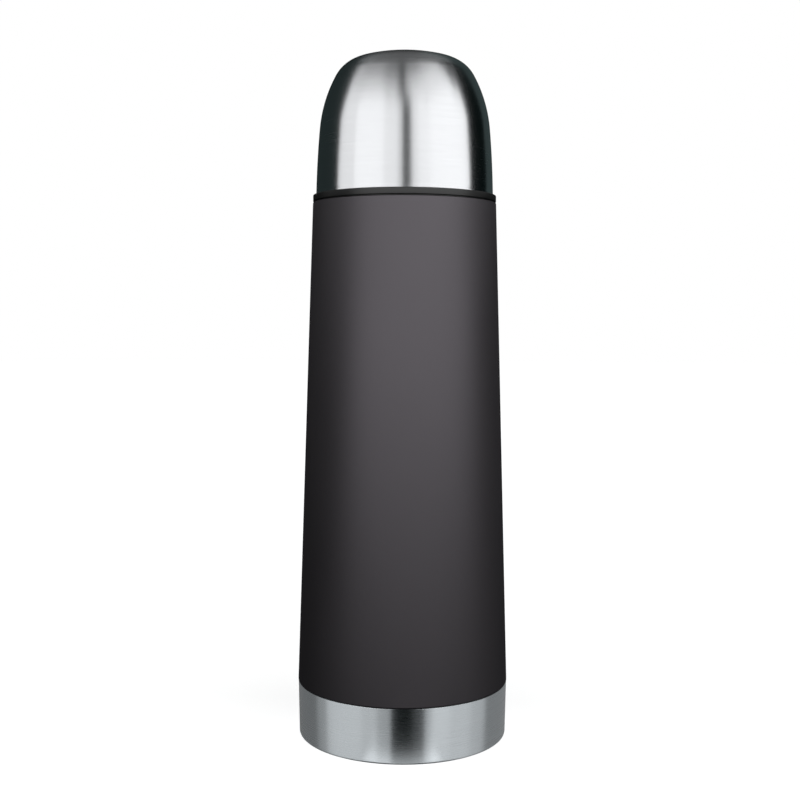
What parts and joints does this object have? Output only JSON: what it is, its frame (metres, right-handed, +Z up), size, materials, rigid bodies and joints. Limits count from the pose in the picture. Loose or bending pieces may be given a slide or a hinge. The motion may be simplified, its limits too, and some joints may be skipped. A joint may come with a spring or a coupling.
{
  "type": "vacuum flask",
  "caption": "Double-walled steel vacuum flask with a tapered soft-touch body, a push-button pouring stopper and a domed cup that screws on over it.",
  "frame": {"origin": "centre of the resting face, on the flask's axis", "axes": "+Z up along the flask's axis, from the base to the top of the cup"},
  "size_m": [0.075, 0.075, 0.2413],
  "materials": {
    "brushed_steel": "circumferentially brushed stainless steel",
    "shell_steel": "plain pressed stainless steel",
    "bottle_steel": "electropolished stainless steel",
    "soft_touch_coat": "matt charcoal soft-touch coat",
    "black_plastic": "satin black moulded polypropylene",
    "stopper_plastic": "fine-textured black moulded polypropylene",
    "button_plastic": "grey moulded polypropylene",
    "valve_plastic": "natural moulded polypropylene",
    "silicone": "translucent grey silicone",
    "spring_steel": "drawn stainless spring wire",
    "foil": "bright copper-coloured foil",
    "getter_pellet": "pressed metal powder",
    "solder": "dull solder"
  },
  "bodies": {
    "flask": {"base_cup": "brushed_steel", "outer_shell": "shell_steel", "outer_bottom": "shell_steel", "vacuum_seal": "solder", "soft_coat": "soft_touch_coat", "inner_bottle": "bottle_steel", "inner_bottom": "bottle_steel", "radiation_foil": "foil", "getter": "getter_pellet", "neck_collar": "black_plastic", "collar_seal": "silicone"},
    "cup_carrier": {"cup_gasket": "silicone"},
    "cup": {"cup_shell": "brushed_steel", "cup_liner": "black_plastic"},
    "stopper_carrier": {"stopper_gasket": "silicone"},
    "stopper": {"stopper_body": "stopper_plastic", "stopper_cover": "stopper_plastic", "button_spring": "spring_steel"},
    "button": {"push_button": "button_plastic", "valve_stem": "valve_plastic", "valve_plate": "valve_plastic", "valve_seal": "silicone"}
  },
  "joints": [
    {"name": "cup_lift", "type": "slide", "parent": "flask", "child": "cup_carrier", "axis": [0, 0, 1], "range_m": [0, 0.06]},
    {"name": "cup_turn", "type": "hinge", "parent": "cup_carrier", "child": "cup", "pos_m": [0, 0, 0.2], "axis": [0, 0, 1], "range_deg": [0, 1350]},
    {"name": "stopper_lift", "type": "slide", "parent": "flask", "child": "stopper_carrier", "axis": [0, 0, 1], "range_m": [0, 0.008]},
    {"name": "stopper_turn", "type": "hinge", "parent": "stopper_carrier", "child": "stopper", "pos_m": [0, 0, 0.2], "axis": [0, 0, 1], "range_deg": [0, 720]},
    {"name": "button_press", "type": "slide", "parent": "stopper", "child": "button", "axis": [0, 0, -1], "range_m": [0, 0.004], "stiffness_N_per_m": 600, "springref_m": -0.004, "deforming": ["button_spring"]}
  ],
  "couplings": [
    {"joint": "cup_lift", "follows": "cup_turn", "m_per_rad": 0.0025465},
    {"joint": "stopper_lift", "follows": "stopper_turn", "m_per_rad": 0.00063661}
  ]
}
